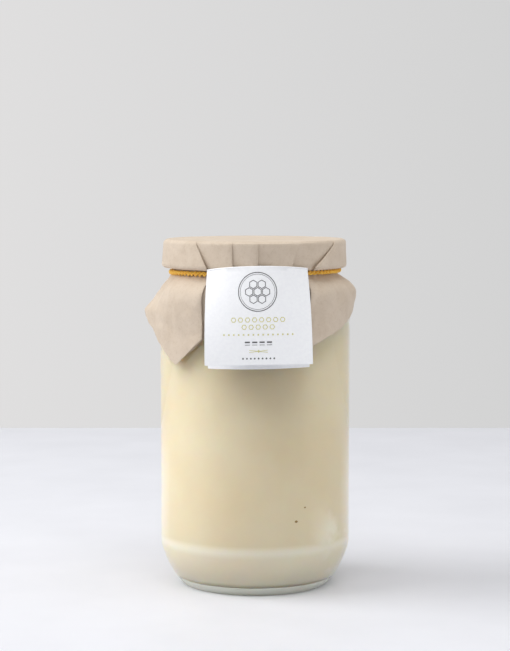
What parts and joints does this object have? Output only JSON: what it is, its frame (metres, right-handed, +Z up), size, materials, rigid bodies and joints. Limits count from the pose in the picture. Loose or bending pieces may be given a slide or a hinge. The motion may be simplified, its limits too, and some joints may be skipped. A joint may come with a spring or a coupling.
{
  "type": "honey jar",
  "caption": "Glass jar of set honey, its lid under a pleated square of kraft paper tied with twine, with a folded card tag",
  "frame": {"origin": "middle of the foot ring, on the surface the jar stands on", "axes": "+Z up along the jar's axis, -Y towards the front where the card hangs, +X to the right as seen from the front"},
  "size_m": [0.1008, 0.1041, 0.1641],
  "materials": {
    "jar_glass": "clear soda-lime glass, smooth",
    "set_honey": "opaque creamy set honey, satin",
    "lid_metal": "lacquered tinplate",
    "kraft_paper": "pale brown kraft paper, matt, creased",
    "cotton_twine": "mustard-yellow twisted cotton twine",
    "white_card": "smooth white card, matt, with plain printed shapes"
  },
  "bodies": {
    "root": {"glass_jar": "jar_glass", "honey": "set_honey", "lid": "lid_metal", "paper_cover": "kraft_paper", "twine": "cotton_twine", "tag": "white_card"}
  },
  "joints": []
}
